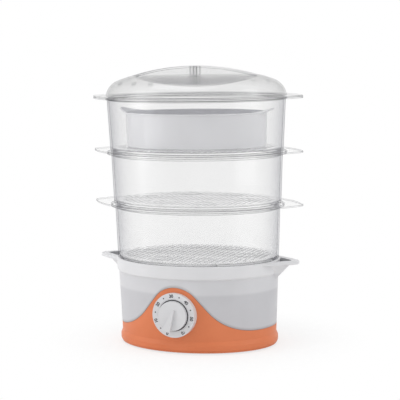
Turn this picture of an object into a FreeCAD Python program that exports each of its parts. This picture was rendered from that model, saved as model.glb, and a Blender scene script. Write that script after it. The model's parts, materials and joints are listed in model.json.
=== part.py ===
import FreeCAD, Part

import math
import os
import re

# Electric food steamer: a low oval base that boils water, three clear bowls that
# nest on it, each with a lift-out grate, a rice bowl and a clear domed lid.
# Millimetres.  X runs along the oval, -Y is the front with the timer dial, +Z is up.
# The origin is the middle of the footprint, on the surface that the feet stand on.

os.makedirs("parts", exist_ok=True)
doc = FreeCAD.newDocument("food_steamer")

# ---------------------------------------------------------------- driving sizes
SIZES = {
    # plan: every wall is an offset of one oval, the base wall just under its rim
    "base_half_length": 118.5,
    "plan_ratio": 0.79,
    # clearances
    "seat_gap": 0.3,
    "nest_clearance": 0.5,
    "shell_clearance": 0.3,
    "screw_clearance": 0.1,
    "running_clearance": 0.05,
    "overcut": 1.0,
    # base shells
    "foot_height": 2.5,
    "skirt_lift": 2.0,
    "base_height": 124.7,
    "base_taper": 3.5,
    "lip_bulge": 2.4,
    "lip_height": 10.0,
    "lip_round": 4.0,
    "lip_blend": 6.0,
    "rim_height": 17.2,
    "rim_flare": 3.0,
    "rim_wall": 4.0,
    "rim_round": 1.2,
    "housing_wall": 3.0,
    "skirt_wall": 2.5,
    "tongue_wall": 2.2,
    "tongue_overlap": 7.0,
    "seam_low": 30.0,
    "seam_margin": 6.5,
    "seam_slope": 50.0,
    "seam_foot_radius": 80.0,
    "seam_gap": 0.4,
    # ears of the base
    "ear_reach": 40.0,
    "ear_half_width": 70.0,
    "ear_height": 31.5,
    "ear_edge": 4.8,
    "ear_edge_round": 1.6,
    "ear_lip": 9.0,
    "ear_root": 27.5,
    "ear_wall": 3.0,
    "ear_keel_round": 9.0,
    "ear_round": 14.0,
    # bottom cover, feet and screws
    "cover_thickness": 2.5,
    "cover_rib_width": 3.5,
    "cover_rib_height": 2.5,
    "foot_radius": 8.0,
    "foot_stem_radius": 3.0,
    "foot_barb_radius": 4.0,
    "foot_barb_height": 1.5,
    "foot_place_x": 80.0,
    "foot_place_y": 37.0,
    "pillar_place_x": 62.0,
    "pillar_place_y": 54.0,
    "pillar_radius": 5.0,
    "cup_radius": 7.5,
    "cup_height": 6.0,
    "screw_radius": 1.75,
    "screw_head_radius": 3.3,
    "screw_head_height": 2.0,
    "screw_length": 12.0,
    # water tank
    "tank_wall": 2.2,
    "tank_draft": 1.2,
    "tank_depth": 23.5,
    "tank_floor": 2.5,
    "tank_flange": 2.0,
    # heater
    "heater_radius": 25.3,
    "heater_flange_radius": 33.0,
    "heater_flange": 2.6,
    "heater_crown_radius": 21.0,
    "heater_crown": 3.0,
    "heater_depth": 8.0,
    "gasket_thickness": 1.5,
    "clamp_ring_thickness": 2.0,
    "heater_screw_circle": 29.0,
    "heater_screw_radius": 1.5,
    "heater_screw_head": 2.0,
    "heater_screw_head_radius": 2.8,
    "heater_thread_depth": 1.8,
    "clamp_ring_reach": 2.0,
    "element_circle": 18.0,
    "element_radius": 3.2,
    "element_sweep": 300.0,
    "element_leg": 9.0,
    "terminal_radius": 1.2,
    "terminal_length": 6.0,
    "thermostat_radius": 8.0,
    "thermostat_height": 6.8,
    "fuse_radius": 2.0,
    "fuse_length": 12.0,
    "clip_thickness": 1.2,
    "clip_width": 8.0,
    "clip_inset": 1.0,
    # turbo ring and drip tray
    "turbo_radius": 40.0,
    "turbo_wall": 2.0,
    "turbo_clearance": 1.0,
    "turbo_slot_width": 12.0,
    "turbo_slot_height": 4.0,
    "tray_wall": 2.0,
    "tray_depth": 6.0,
    "tray_draft": 1.0,
    "chimney_radius": 28.0,
    "chimney_height": 10.5,
    "chimney_window": 4.5,
    "chimney_window_width": 12.0,
    # bowls
    "bowl_wall": 2.2,
    "foot_depth": 8.6,
    "foot_draft": 0.3,
    "bowl_1_shoulder": 2.4,
    "bowl_2_shoulder": 4.1,
    "bowl_3_shoulder": 3.6,
    "bowl_1_flare": 2.8,
    "bowl_2_flare": 2.9,
    "bowl_3_flare": 4.0,
    "bowl_1_height": 79.7,
    "bowl_2_height": 75.1,
    "bowl_3_height": 75.8,
    "flange_reach": 6.2,
    "flange_thickness": 2.0,
    "flange_lip": 5.0,
    "flange_lip_wall": 1.8,
    "flange_lip_inset": 0.2,
    "top_flange_lip": 3.2,
    "top_flange_reach": 2.0,
    "tab_reach": 42.5,
    "tab_round": 18.0,
    # grates
    "grate_thickness": 1.8,
    "grate_clearance": 0.5,
    "grate_border": 7.0,
    "slot_width": 3.6,
    "slot_pitch": 7.9,
    "slot_bar": 4.0,
    "slot_length": 52.0,
    "egg_ring_radius": 17.0,
    "egg_ring_wall": 2.4,
    "egg_ring_height": 1.2,
    "egg_side_x": 74.0,
    "egg_pair_x": 32.0,
    "egg_pair_y": 56.0,
    # rice bowl
    "rice_gap": 20.7,
    "rice_height": 49.5,
    "rice_draft": 1.3,
    "rice_wall": 2.0,
    "rice_bead": 1.2,
    "rice_bead_height": 2.5,
    "rice_ear_reach": 14.5,
    "rice_ear_rise": 7.0,
    "rice_ear_half_width": 70.0,
    "rice_ear_round": 10.0,
    # lid
    "lid_height": 43.5,
    "lid_wall": 2.2,
    "lid_flange": 1.8,
    "lid_ring_depth": 5.0,
    "dome_proud": 1.6,
    "crown_radius": 340.0,
    "corner_radius": 28.0,
    "dish_drop": 14.0,
    "dish_depth": 13.4,
    "dish_half_length": 90.0,
    "ridge_half_width": 8.0,
    "grip_rib_width": 1.8,
    "grip_rib_pitch": 4.2,
    "grip_rib_proud": 1.0,
    "grip_rib_drop": 0.6,
    "vent_radius": 2.6,
    "vent_1_x": 88.0,
    "vent_1_y": 66.0,
    "vent_2_x": 59.0,
    "vent_2_y": 84.0,
    "vent_3_x": 30.0,
    "vent_3_y": 93.0,
    # dial, knob and timer
    "dial_clearance": 0.5,
    "dial_radius": 31.5,
    "dial_proud": 6.4,
    "dial_spigot_radius": 25.0,
    "dial_depth": 13.0,
    "dial_wall": 3.0,
    "dial_boss_length": 38.0,
    "dial_boss_height": 12.0,
    "knob_radius": 20.75,
    "knob_ring_gap": 0.85,
    "knob_recess": 1.5,
    "knob_thickness": 6.6,
    "knob_wall": 2.0,
    "knob_hub_radius": 7.0,
    "knob_clearance": 0.4,
    "pointer_reach": 22.4,
    "pointer_tail": 9.0,
    "pointer_width": 12.0,
    "pointer_tail_width": 2.0,
    "pointer_height": 6.0,
    "pointer_tail_height": 2.5,
    "pointer_angle": 200.0,
    "shaft_radius": 3.0,
    "shaft_fit": 0.1,
    "shaft_hole": 0.6,
    "shaft_flat": 2.2,
    "shaft_engagement": 5.0,
    "spring_slot_depth": 1.0,
    "spring_thickness": 0.7,
    "spring_wall": 1.0,
    "spring_split": 1.5,
    "timer_width": 42.0,
    "timer_depth": 26.0,
    "timer_bore_depth": 20.8,
    "timer_screw_place": 14.0,
    "timer_screw_radius": 1.5,
    "timer_screw_head_radius": 2.8,
    "timer_screw_head": 1.8,
    "timer_screw_sink": 0.2,
    "timer_screw_length": 12.0,
    "bell_radius": 15.0,
    "bell_depth": 8.0,
    "bell_wall": 1.2,
    "bell_post_radius": 3.0,
    "bell_standoff": 2.0,
    # mains inlet
    "gland_height": 23.9,
    "gland_radius": 4.6,
    "gland_flange_radius": 5.8,
    "gland_flange": 2.0,
    "gland_bore_radius": 3.5,
    "gland_tail": 4.0,
    "post_radius": 3.0,
    "post_place_x": 9.0,
    "post_inset": 18.0,
    "post_height": 23.5,
    "clamp_bar_length": 26.0,
    "clamp_bar_width": 8.0,
    "clamp_bar_thickness": 3.0,
    "clamp_screw_length": 9.0,
    "block_length": 30.0,
    "block_width": 14.0,
    "block_height": 14.0,
    "block_place_x": 46.0,
    "block_place_y": 34.0,
    "block_screw_pitch": 9.0,
}

sheet = doc.addObject("Spreadsheet::Sheet", "sizes")
for row, (word, number) in enumerate(SIZES.items(), start=1):
    sheet.set(f"A{row}", word)
    sheet.set(f"B{row}", str(number))
    sheet.setAlias(f"B{row}", word)
doc.recompute()

WORDS = re.compile(r"\b(" + "|".join(sorted(SIZES, key=len, reverse=True)) + r")\b")


# ---------------------------------------------------------------- helpers
SAME_PLACE = 0.001


def formula(words):
    """The words of a size formula as the sheet's own cells."""
    return WORDS.sub(r"sizes.\1", str(words))


def value(words):
    """The number that a size formula gives, for shapes that are made in code."""
    return float(sheet.evalExpression(formula(words)))


def bind(thing, formulas):
    for path, words in formulas.items():
        thing.setExpression(path, formula(words))
    return thing


def place(thing, x="0", y="0", z="0"):
    return bind(thing, {"Placement.Base.x": x, "Placement.Base.y": y, "Placement.Base.z": z})


def oval_solid(name, *levels):
    """Solid through ovals, each an offset of the base oval at a height."""
    ovals = []
    for number, (reach, height) in enumerate(levels, start=1):
        oval = doc.addObject("Part::Ellipse", f"{name}_oval_{number}")
        bind(oval, {
            "MajorRadius": f"base_half_length + ({reach})",
            "MinorRadius": f"base_half_length * plan_ratio + ({reach})",
            "Placement.Base.z": height,
        })
        ovals.append(oval)
    solid = doc.addObject("Part::Loft", name)
    solid.Sections = ovals
    solid.Solid = True
    solid.Ruled = True
    return solid


def cylinder(name, radius, height, x="0", y="0", z="0", toward="up"):
    """Round bar from a point, upwards, to the front or to the back."""
    bar = doc.addObject("Part::Cylinder", name)
    bind(bar, {"Radius": radius, "Height": height})
    quarter = {"up": 0, "front": 90, "back": -90}[toward]
    bar.Placement = FreeCAD.Placement(FreeCAD.Vector(), FreeCAD.Rotation(FreeCAD.Vector(1, 0, 0), quarter))
    return place(bar, x, y, z)


def box(name, length, width, height, x="0", y="0", z="0"):
    """Block centred on x and y that stands on z."""
    block = doc.addObject("Part::Box", name)
    bind(block, {"Length": length, "Width": width, "Height": height})
    return place(block, f"({x}) - ({length}) / 2", f"({y}) - ({width}) / 2", z)


def fuse(name, *pieces):
    whole = doc.addObject("Part::MultiFuse", name)
    whole.Shapes = list(pieces)
    return whole


def common(name, *pieces):
    whole = doc.addObject("Part::MultiCommon", name)
    whole.Shapes = list(pieces)
    return whole


def cut(name, base, *tools):
    tool = tools[0] if len(tools) == 1 else fuse(f"{name}_tools", *tools)
    whole = doc.addObject("Part::Cut", name)
    whole.Base = base
    whole.Tool = tool
    return whole


def compound(name, *pieces):
    group = doc.addObject("Part::Compound", name)
    group.Links = list(pieces)
    return group


def coded(name, shape):
    """Shape that Part's own functions made from the sheet's values."""
    feature = doc.addObject("Part::Feature", name)
    feature.Shape = shape
    return feature


def upright(edge):
    return max(edge.BoundBox.XLength, edge.BoundBox.YLength) < SAME_PLACE


def level(edge):
    return edge.BoundBox.ZLength < SAME_PLACE


def slanted(edge):
    return not upright(edge) and not level(edge)


def rounded(name, solid, chosen, round_by):
    """Round the edges that a test picks out."""
    doc.recompute()
    whole = doc.addObject("Part::Fillet", name)
    whole.Base = solid
    whole.Edges = [(number, value(round_by), value(round_by))
                   for number, edge in enumerate(solid.Shape.Edges, start=1) if chosen(edge)]
    return whole


def lens_solid(name, tip, half_width, low_inset, high_inset, bottom, height):
    """Space between two arcs that meet at tips on the X axis, set in by one amount low and another high."""
    arc = f"(({tip}) ^ 2 + ({half_width}) ^ 2) / (2 * ({half_width}))"
    halves = []
    for side, sign in (("front", ""), ("back", "-")):
        if low_inset == high_inset:
            half = cylinder(f"{name}_{side}", f"{arc} - ({low_inset})", height)
        else:
            half = doc.addObject("Part::Cone", f"{name}_{side}")
            bind(half, {"Radius1": f"{arc} - ({low_inset})", "Radius2": f"{arc} - ({high_inset})",
                        "Height": height})
        halves.append(place(half, y=f"{sign}({arc} - ({half_width}))", z=bottom))
    return common(name, *halves)


def lens_plate(name, tip, half_width, bottom, height, round_by):
    """Flat lens whose tips are rounded."""
    lens = lens_solid(f"{name}_lens", tip, half_width, "0", "0", bottom, height)
    return rounded(name, lens, upright, round_by)


def finish(label, solid):
    """Name a sub-part: the label is the name of its file."""
    solid.Label = label
    sub_parts.append(solid)
    return solid


sub_parts = []

# ---------------------------------------------------------------- shared levels and reaches
BASE_HALF_WIDTH = "(base_half_length * plan_ratio)"
LEDGE = "(base_height - rim_height)"
WALL_LOW = "(skirt_lift + lip_height + lip_blend)"
RIM_MOUTH = "(rim_flare - rim_wall)"
COVER_TOP = "(foot_height + cover_thickness)"
COVER_REACH = "(-base_taper - skirt_wall - shell_clearance)"
CUP_SHELF = "(foot_height + cup_height - cover_thickness)"
CUP_TOP = "(foot_height + cup_height)"
POST_TOP = "(foot_height + cover_thickness / 2 + post_height)"
POST_Y = f"({BASE_HALF_WIDTH} - post_inset)"
TANK_TOP = f"({LEDGE} + tank_flange)"
TANK_FLOOR = f"({LEDGE} - tank_depth)"
TANK_UNDER = f"({TANK_FLOOR} - tank_floor)"
TRAY_UNDER = f"({TANK_TOP} + seat_gap - tray_depth)"
TANK_REACH = "(-housing_wall - tongue_wall - 2 * shell_clearance)"
GASKET_TOP = f"({TANK_FLOOR} + gasket_thickness)"
PLATE_UNDER = f"({TANK_FLOOR} - heater_depth)"
CLAMP_UNDER = f"({TANK_UNDER} - clamp_ring_thickness)"
BOTTOM = {
    1: "(base_height + seat_gap)",
}
TOP = {}
FOOT_REACH = {
    1: f"({RIM_MOUTH} - nest_clearance)",
}
LOW_REACH = {}
HIGH_REACH = {}
for tier in (1, 2, 3):
    if tier > 1:
        BOTTOM[tier] = f"({TOP[tier - 1]} + seat_gap)"
        FOOT_REACH[tier] = f"({HIGH_REACH[tier - 1]} - bowl_wall - nest_clearance)"
    TOP[tier] = f"({BOTTOM[tier]} + bowl_{tier}_height)"
    LOW_REACH[tier] = f"({FOOT_REACH[tier]} + bowl_{tier}_shoulder)"
    HIGH_REACH[tier] = f"({LOW_REACH[tier]} + bowl_{tier}_flare)"
GRATE = {tier: f"({BOTTOM[tier]} + bowl_wall + seat_gap)" for tier in (1, 2, 3)}


def wall_at(height):
    """How far the base's outer wall stands from the middle, on the Y axis at a height."""
    return f"({BASE_HALF_WIDTH} - base_taper * ({LEDGE} - {height}) / ({LEDGE} - {WALL_LOW}))"


DIAL_HEIGHT = f"({TANK_UNDER} - dial_spigot_radius - dial_clearance)"
DIAL_FACE = f"({wall_at(DIAL_HEIGHT)} + dial_proud)"
DIAL_BACK = f"({DIAL_FACE} - dial_depth)"
SCREW_SEAT = f"({DIAL_FACE} - knob_recess - timer_screw_head)"
KNOB_BACK = f"({DIAL_FACE} - knob_recess + knob_clearance)"
SHAFT_END = f"({KNOB_BACK} + shaft_engagement)"


# ---------------------------------------------------------------- base shells
def under_seam(name, rise):
    """Everything under the seam: level all round, with one wave in front that arches over the dial."""
    slope = math.radians(value("seam_slope"))
    low = value("seam_low") + rise
    crest_z = value(DIAL_HEIGHT)
    crest_radius = value("dial_radius + seam_margin") + rise
    foot_radius = value("seam_foot_radius") - rise
    arcs = crest_radius + foot_radius
    flank = (crest_z + crest_radius - low - arcs * (1 - math.cos(slope))) / math.sin(slope)
    half = arcs * math.sin(slope) + flank * math.cos(slope)
    reach = value("base_half_length") * 2

    def crest(turn):
        return FreeCAD.Vector(crest_radius * math.sin(turn), 0, crest_z + crest_radius * math.cos(turn))

    def foot(side, turn):
        return FreeCAD.Vector(side * (half - foot_radius * math.sin(turn)), 0,
                              low + foot_radius * (1 - math.cos(turn)))

    wave = [
        Part.Arc(foot(-1, 0), foot(-1, slope / 2), foot(-1, slope)).toShape(),
        Part.LineSegment(foot(-1, slope), crest(-slope)).toShape(),
        Part.Arc(crest(-slope), crest(0), crest(slope)).toShape(),
        Part.LineSegment(crest(slope), foot(1, slope)).toShape(),
        Part.Arc(foot(1, slope), foot(1, slope / 2), foot(1, 0)).toShape(),
    ]
    rest = Part.makePolygon([
        foot(1, 0), FreeCAD.Vector(reach, 0, low), FreeCAD.Vector(reach, 0, -reach),
        FreeCAD.Vector(-reach, 0, -reach), FreeCAD.Vector(-reach, 0, low), foot(-1, 0),
    ])
    front = Part.Face(Part.Wire(wave + rest.Edges)).extrude(FreeCAD.Vector(0, -reach, 0))
    back = Part.makeBox(2 * reach, reach, low + reach, FreeCAD.Vector(-reach, 0, -reach))
    return coded(name, front.fuse(back).removeSplitter())


def make_housing():
    """Left half and its mirror image: one half keeps clear of the line where every oval starts and ends."""
    left_side = box("housing_left_side", "2 * base_half_length", "2 * base_half_length",
                    "base_height + 2 * overcut", x="-base_half_length")
    outer = oval_solid("housing_outer", ("-base_taper", WALL_LOW), ("0", f"{LEDGE} - rim_flare"),
                       ("rim_flare - rim_round / 2", LEDGE), ("rim_flare", "base_height - rim_round"),
                       ("rim_flare - rim_round", "base_height"))
    hollow = oval_solid("housing_hollow", ("-base_taper - housing_wall", f"{WALL_LOW} - overcut"),
                        ("-housing_wall", LEDGE))
    mouth = oval_solid("housing_mouth", (RIM_MOUTH, LEDGE), (RIM_MOUTH, "base_height + overcut"))
    shell = cut("housing_shell", common("housing_left_outer", outer, left_side), hollow, mouth)
    seam_space = under_seam("seam_space", value("seam_gap"))
    body = cut("housing_body", fuse("housing_with_ear", shell, make_ear(left_side)), seam_space)

    step_outer = oval_solid("step_outer", ("-base_taper - housing_wall / 2", WALL_LOW),
                            ("-housing_wall / 2", LEDGE))
    step_inner = oval_solid("step_inner",
                            ("-base_taper - housing_wall - tongue_wall", f"{WALL_LOW} - overcut"),
                            ("-housing_wall - tongue_wall", f"{LEDGE} + overcut"))
    step_ring = cut("step_ring", common("step_left", step_outer, left_side), step_inner)
    step_band = cut("step_band", under_seam("seam_above", value("tongue_overlap / 2")),
                    under_seam("seam_below", -value("tongue_overlap")))
    skirt_space_inner = oval_solid("skirt_space_inner",
                                   ("-base_taper - skirt_wall - shell_clearance", "0"),
                                   ("-base_taper - skirt_wall - shell_clearance", WALL_LOW),
                                   ("-skirt_wall - shell_clearance", LEDGE))
    skirt_space = cut("skirt_space", seam_space, skirt_space_inner)
    gland_relief = cylinder("gland_relief", "gland_flange_radius + shell_clearance", "base_half_length",
                            z="gland_height", toward="back")
    tongue = cut("tongue", common("tongue_band", step_ring, step_band), skirt_space, gland_relief)

    left_half = fuse("housing_left_half", body, tongue)
    right_half = doc.addObject("Part::Mirroring", "housing_right_half")
    right_half.Source = left_half
    right_half.Normal = FreeCAD.Vector(1, 0, 0)
    finish("upper_housing", fuse("upper_housing", left_half, right_half))


def make_ear(left_side):
    """Hollow wing with a rounded lip, on the left."""
    ear_low = "base_height - ear_height"
    ear_tip = "base_half_length + ear_reach"
    lip_plate = lens_plate("ear_lip_plate", ear_tip, "ear_half_width", "base_height - ear_edge", "ear_edge",
                           "ear_round")
    ear_lip = rounded("ear_lip", lip_plate, level, "ear_edge_round")
    ear_keel = lens_solid("ear_keel", ear_tip, "ear_half_width", "ear_root", "ear_lip", ear_low,
                          "ear_height - ear_edge / 2")
    ear_hull = rounded("ear_hull", ear_keel, slanted, "ear_keel_round")
    ear_slope = "(ear_root - ear_lip) / (ear_height - ear_edge / 2)"
    pocket_keel = lens_solid("pocket_keel", ear_tip, "ear_half_width",
                             f"ear_root + ear_wall - {ear_slope} * 2 * ear_wall",
                             f"ear_root + ear_wall - {ear_slope} * (ear_height + overcut)",
                             f"{ear_low} + 2 * ear_wall", "ear_height + overcut - 2 * ear_wall")
    pocket_hull = rounded("pocket_hull", pocket_keel, slanted, "ear_keel_round - ear_wall")
    root = oval_solid("ear_root_core", ("-housing_wall / 2", f"{ear_low} - overcut"),
                      ("-housing_wall / 2", LEDGE), ("rim_flare - rim_wall / 2", f"{LEDGE} + overcut"),
                      ("rim_flare - rim_wall / 2", "base_height + 2 * overcut"))
    wedge = common("ear_wedge", fuse("ear_whole", ear_lip, ear_hull), left_side)
    return cut("ear", wedge, pocket_hull, root)


def make_skirt():
    lip = "-base_taper + lip_bulge"
    skirt_outer = oval_solid("skirt_outer", (f"{lip} - lip_round / 2", "skirt_lift"),
                             (lip, "skirt_lift + lip_round"), (lip, "skirt_lift + lip_height"),
                             ("-base_taper", WALL_LOW), ("0", LEDGE))
    skirt_hollow = oval_solid("skirt_hollow", ("-base_taper - skirt_wall", "0"),
                              ("-base_taper - skirt_wall", WALL_LOW), ("-skirt_wall", f"{LEDGE} + overcut"))
    rib_ring = oval_solid("rib_ring", ("-base_taper - skirt_wall / 2", COVER_TOP),
                          ("-base_taper - skirt_wall / 2", f"{COVER_TOP} + cover_rib_height"))
    rib_reach = "-base_taper - skirt_wall - cover_rib_width"
    rib_hole = oval_solid("rib_hole", (rib_reach, f"{COVER_TOP} - overcut"),
                          (rib_reach, f"{COVER_TOP} + cover_rib_height + overcut"))
    rib = cut("cover_rib", rib_ring, rib_hole)
    skirt_ring = cut("skirt_ring", skirt_outer, skirt_hollow)
    skirt = common("skirt_under_seam", fuse("skirt_with_rib", skirt_ring, rib), under_seam("seam_edge", 0))
    dial_hole = cylinder("dial_hole", "dial_spigot_radius + shell_clearance", "base_half_length",
                         z=DIAL_HEIGHT, toward="front")
    gland_hole = cylinder("gland_hole", "gland_radius + screw_clearance", "base_half_length",
                          z="gland_height", toward="back")
    finish("lower_skirt", cut("lower_skirt", skirt, dial_hole, gland_hole))


# ---------------------------------------------------------------- bottom cover, feet, screws
def corners(name, make, x, y):
    """Four copies of a small piece, one in each quarter of the footprint."""
    pieces = []
    for number, (left, front) in enumerate((("-", "-"), ("", "-"), ("-", ""), ("", "")), start=1):
        pieces.append(make(f"{name}_{number}", f"{left}{x}", f"{front}{y}"))
    return pieces


def make_bottom():
    plate = oval_solid("cover_plate", (COVER_REACH, "foot_height"), (COVER_REACH, COVER_TOP))
    cups = corners("cover_cup", lambda name, x, y: cylinder(
        name, "cup_radius", "cup_height", x, y, "foot_height"), "pillar_place_x", "pillar_place_y")
    sockets = corners("head_socket", lambda name, x, y: cylinder(
        name, "screw_head_radius + screw_clearance", "cup_height - cover_thickness",
        x, y, "foot_height"), "pillar_place_x", "pillar_place_y")
    holes = corners("cover_hole", lambda name, x, y: cylinder(
        name, "screw_radius + screw_clearance", "cup_height + overcut", x, y, "foot_height"),
        "pillar_place_x", "pillar_place_y")
    foot_holes = corners("foot_hole", lambda name, x, y: cylinder(
        name, "foot_stem_radius + screw_clearance", "cover_thickness + 2 * overcut", x, y,
        "foot_height - overcut"),
        "foot_place_x", "foot_place_y")
    posts = []
    for side, sign in (("left", "-"), ("right", "")):
        posts.append(cylinder(f"clamp_post_{side}", "post_radius", "post_height", f"{sign}post_place_x",
                              POST_Y, "foot_height + cover_thickness / 2"))
    post_holes = clamp_screw_holes("post_hole")
    finish("bottom_cover", cut("bottom_cover", fuse("cover_body", plate, *cups, *posts),
                               *sockets, *holes, *foot_holes, *post_holes))

    def foot(name, x, y):
        pad = cylinder(f"{name}_pad", "foot_radius", "foot_height", x, y, "0")
        stem = cylinder(f"{name}_stem", "foot_stem_radius", "cover_thickness + foot_height / 2",
                        x, y, "foot_height / 2")
        barb = cylinder(f"{name}_barb", "foot_barb_radius", "foot_barb_height", x, y, COVER_TOP)
        return fuse(name, pad, stem, barb)

    finish("rubber_feet", compound("rubber_feet", *corners("foot", foot, "foot_place_x", "foot_place_y")))

    def cover_screw(name, x, y):
        head = cylinder(f"{name}_head", "screw_head_radius", "screw_head_height", x, y,
                        f"{CUP_SHELF} - screw_head_height")
        shank = cylinder(f"{name}_shank", "screw_radius", "screw_length + screw_head_height / 2", x, y,
                         f"{CUP_SHELF} - screw_head_height / 2")
        return fuse(name, head, shank)

    finish("cover_screws", compound("cover_screws", *corners(
        "cover_screw", cover_screw, "pillar_place_x", "pillar_place_y")))


def clamp_screw_holes(name):
    holes = []
    for side, sign in (("left", "-"), ("right", "")):
        holes.append(cylinder(f"{name}_{side}", "timer_screw_radius + screw_clearance",
                              "clamp_screw_length + overcut", f"{sign}post_place_x", POST_Y,
                              f"{POST_TOP} + clamp_bar_thickness - clamp_screw_length"))
    return holes


# ---------------------------------------------------------------- water tank and heater
def make_tank():
    low = f"{TANK_REACH} - tank_draft"
    outer = oval_solid("tank_outer", (low, TANK_UNDER), (TANK_REACH, LEDGE))
    flange = oval_solid("tank_flange_plate", (f"{RIM_MOUTH} - shell_clearance", LEDGE),
                        (f"{RIM_MOUTH} - shell_clearance", TANK_TOP))
    pillars = corners("tank_pillar", lambda name, x, y: cylinder(
        name, "pillar_radius", f"{TANK_FLOOR} - tank_floor / 2 - {CUP_TOP}", x, y, CUP_TOP),
        "pillar_place_x", "pillar_place_y")
    hollow = oval_solid("tank_hollow", (f"{low} - tank_wall", TANK_FLOOR),
                        (f"{TANK_REACH} - tank_wall", LEDGE),
                        (f"{TANK_REACH} - tank_wall", f"{TANK_TOP} + overcut"))
    pilots = corners("tank_pilot", lambda name, x, y: cylinder(
        name, "screw_radius + screw_clearance", "screw_length", x, y, CUP_TOP),
        "pillar_place_x", "pillar_place_y")
    heater_hole = cylinder("tank_heater_hole", "heater_radius + shell_clearance",
                           "tank_floor + 2 * overcut", z=f"{TANK_UNDER} - overcut")
    screw_holes = heater_screw_set("tank_screw_hole", "screw_clearance", TANK_UNDER, "tank_floor + overcut")
    finish("water_tank", cut("water_tank", fuse("tank_body", outer, flange, *pillars),
                             hollow, heater_hole, *pilots, *screw_holes))


def heater_screw_set(name, extra, bottom, height):
    """Three round bars on the heater's screw circle."""
    bars = []
    for number in range(3):
        angle = 90 + 120 * number
        bars.append(cylinder(f"{name}_{number + 1}", f"heater_screw_radius + {extra}", height,
                             f"heater_screw_circle * cos({angle} deg)",
                             f"heater_screw_circle * sin({angle} deg)", bottom))
    return bars


def make_heater():
    gasket = cylinder("gasket_disc", "heater_flange_radius", "gasket_thickness", z=TANK_FLOOR)
    gasket_hole = cylinder("gasket_hole", "heater_radius + shell_clearance",
                           "gasket_thickness + 2 * overcut", z=f"{TANK_FLOOR} - overcut")
    finish("heater_gasket", cut("heater_gasket", gasket, gasket_hole,
                                *heater_screw_set("gasket_screw_hole", "screw_clearance",
                                                  f"{TANK_FLOOR} - overcut",
                                                  "gasket_thickness + 2 * overcut")))

    flange = cylinder("plate_flange", "heater_flange_radius", "heater_flange", z=GASKET_TOP)
    body = cylinder("plate_body", "heater_radius", f"{GASKET_TOP} + heater_flange / 2 - {PLATE_UNDER}",
                    z=PLATE_UNDER)
    crown = doc.addObject("Part::Cone", "plate_crown")
    bind(crown, {"Radius1": "heater_crown_radius + heater_crown", "Radius2": "heater_crown_radius",
                 "Height": "heater_crown + heater_flange / 2"})
    place(crown, z=f"{GASKET_TOP} + heater_flange / 2")
    finish("heater_plate", cut("heater_plate", fuse("plate_whole", flange, body, crown),
                               *heater_screw_set("plate_screw_hole", "screw_clearance",
                                                 f"{GASKET_TOP} - overcut",
                                                 "heater_thread_depth + overcut")))

    ring = cylinder("clamp_disc", "heater_flange_radius + clamp_ring_reach", "clamp_ring_thickness",
                    z=CLAMP_UNDER)
    ring_hole = cylinder("clamp_hole", "heater_radius + shell_clearance",
                         "clamp_ring_thickness + 2 * overcut", z=f"{CLAMP_UNDER} - overcut")
    finish("heater_clamp_ring", cut("heater_clamp_ring", ring, ring_hole,
                                    *heater_screw_set("clamp_screw_hole", "screw_clearance",
                                                      f"{CLAMP_UNDER} - overcut",
                                                      "clamp_ring_thickness + 2 * overcut")))

    shanks = heater_screw_set("heater_shank", "0", f"{CLAMP_UNDER} - heater_screw_head / 2",
                              f"{GASKET_TOP} + heater_flange / 2 - {CLAMP_UNDER} + heater_screw_head / 2")
    heads = heater_screw_set("heater_head", "heater_screw_head_radius - heater_screw_radius",
                             f"{CLAMP_UNDER} - heater_screw_head", "heater_screw_head")
    screws = [fuse(f"heater_screw_{n + 1}", heads[n], shanks[n]) for n in range(3)]
    finish("heater_screws", compound("heater_screws", *screws))

    coil_z = f"({PLATE_UNDER} - element_radius)"
    coil = doc.addObject("Part::Torus", "element_coil")
    bind(coil, {"Radius1": "element_circle", "Radius2": "element_radius", "Angle3": "element_sweep"})
    turn = (360 - value("element_sweep")) / 2 - 90
    coil.Placement = FreeCAD.Placement(FreeCAD.Vector(), FreeCAD.Rotation(FreeCAD.Vector(0, 0, 1), turn))
    place(coil, z=coil_z)
    legs = []
    for side, sign in (("left", "-"), ("right", "")):
        x = f"{sign}element_circle * sin((360 - element_sweep) / 2 * 1 deg)"
        y = "-element_circle * cos((360 - element_sweep) / 2 * 1 deg)"
        knee = doc.addObject("Part::Sphere", f"element_knee_{side}")
        bind(knee, {"Radius": "element_radius"})
        place(knee, x, y, coil_z)
        legs.append(knee)
        legs.append(cylinder(f"element_leg_{side}", "element_radius", "element_leg", x, y,
                             f"{coil_z} - element_leg"))
        legs.append(cylinder(f"element_pin_{side}", "terminal_radius", "terminal_length + overcut", x, y,
                             f"{coil_z} - element_leg - terminal_length"))
    finish("heating_element", fuse("heating_element", coil, *legs))

    finish("thermostat", cylinder("thermostat", "thermostat_radius", "thermostat_height",
                                  z=f"{PLATE_UNDER} - thermostat_height"))
    fuse_x = "(thermostat_radius + element_circle - element_radius) / 2"
    finish("thermal_fuse", cylinder("thermal_fuse", "fuse_radius", "fuse_length", x=fuse_x,
                                    y="fuse_length / 2", z=f"{PLATE_UNDER} - fuse_radius", toward="front"))
    bar_z = f"{PLATE_UNDER} - thermostat_height - clip_thickness"
    bar = box("clip_bar", "2 * (heater_radius - clip_inset)", "clip_width", "clip_thickness", z=bar_z)
    clip_legs = []
    for side, sign in (("left", "-"), ("right", "")):
        clip_legs.append(box(f"clip_leg_{side}", "clip_thickness", "clip_width",
                             "thermostat_height + clip_thickness",
                             x=f"{sign}(heater_radius - clip_inset - clip_thickness / 2)", z=bar_z))
    finish("thermostat_clip", fuse("thermostat_clip", bar, *clip_legs))


# ---------------------------------------------------------------- timer, dial and knob
def timer_screw_set(name, radius, y, length):
    """Two round bars either side of the dial, towards the front."""
    bars = []
    for side, sign in (("left", "-"), ("right", "")):
        bars.append(cylinder(f"{name}_{side}", radius, length, x=f"{sign}timer_screw_place", y=y,
                             z=DIAL_HEIGHT, toward="front"))
    return bars


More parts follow.
